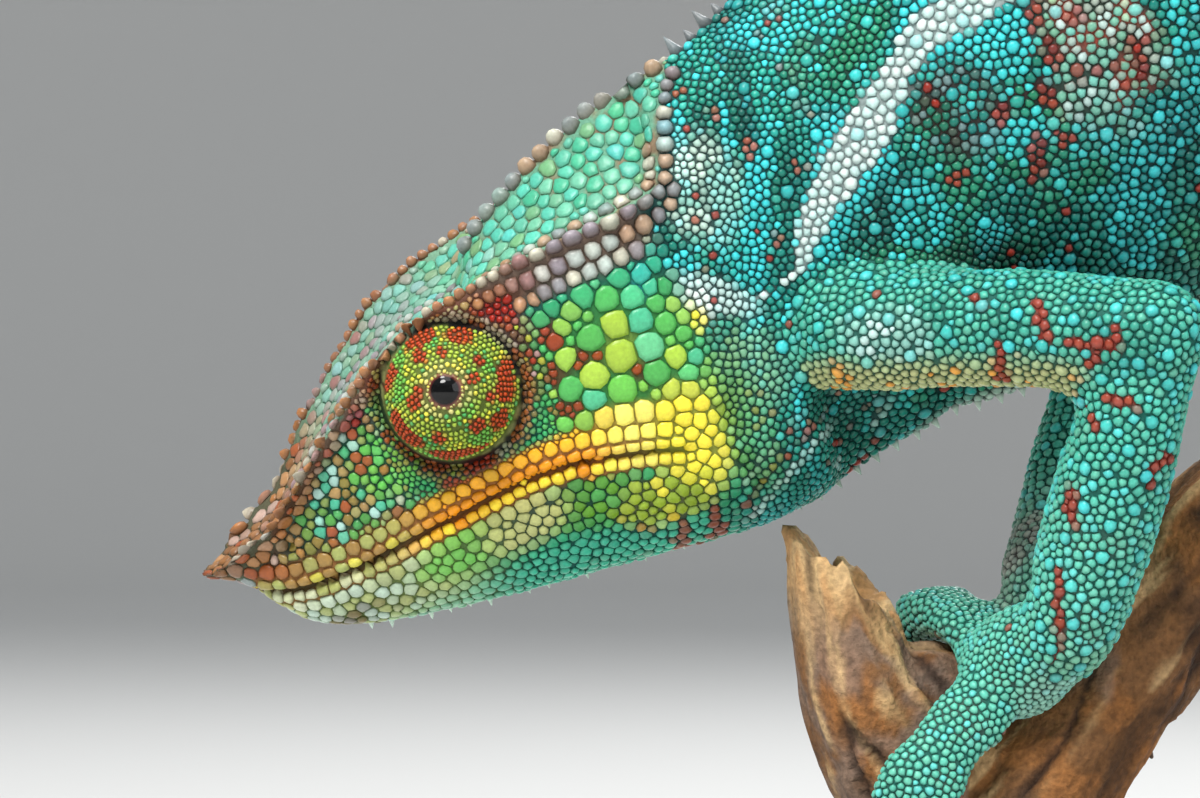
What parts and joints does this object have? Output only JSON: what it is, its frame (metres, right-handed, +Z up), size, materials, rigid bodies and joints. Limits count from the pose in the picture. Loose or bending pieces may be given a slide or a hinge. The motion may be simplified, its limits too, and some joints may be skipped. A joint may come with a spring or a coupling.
{
  "type": "panther chameleon",
  "caption": "Life-size adult male panther chameleon, teal with a white flank stripe, walking head down along a cut branch held on a plain display stand.",
  "frame": {"origin": "centre of the flat underside of the stand's base", "axes": "Z up; -X the way the animal's head points along the branch; -Y towards the viewer, who sees its left side"},
  "size_m": [0.2335, 0.092, 0.2133],
  "materials": {
    "skin": "fine beaded scales, satin",
    "eye_skin": "fine granular scales, satin",
    "eye": "wet, glossy",
    "claw": "smooth horn",
    "bark": "dead bark and broken wood",
    "stand_base": "painted satin black",
    "stand_rod": "brushed"
  },
  "bodies": {
    "root": {"head": "skin", "lower_jaw": "skin", "neck": "skin", "trunk": "skin", "tail_1": "skin", "tail_2": "skin", "tail_3": "skin", "tail_4": "skin", "tail_5": "skin", "tail_6": "skin", "upper_leg_front_left": "skin", "lower_leg_front_left": "skin", "foot_front_left": "skin", "upper_leg_front_right": "skin", "lower_leg_front_right": "skin", "foot_front_right": "skin", "upper_leg_hind_left": "skin", "lower_leg_hind_left": "skin", "foot_hind_left": "skin", "upper_leg_hind_right": "skin", "lower_leg_hind_right": "skin", "foot_hind_right": "skin", "eye_turret_left": "eye_skin", "eyeball_left": "eye", "eye_turret_right": "eye_skin", "eyeball_right": "eye", "claw_front_left_1": "claw", "claw_front_left_2": "claw", "claw_front_left_3": "claw", "claw_front_left_4": "claw", "claw_front_left_5": "claw", "claw_front_right_1": "claw", "claw_front_right_2": "claw", "claw_front_right_3": "claw", "claw_front_right_4": "claw", "claw_front_right_5": "claw", "claw_hind_left_1": "claw", "claw_hind_left_2": "claw", "claw_hind_left_3": "claw", "claw_hind_left_4": "claw", "claw_hind_left_5": "claw", "claw_hind_right_1": "claw", "claw_hind_right_2": "claw", "claw_hind_right_3": "claw", "claw_hind_right_4": "claw", "claw_hind_right_5": "claw", "perch": "bark", "stand_base": "stand_base", "stand_rod_front": "stand_rod", "stand_rod_rear": "stand_rod"}
  },
  "joints": []
}
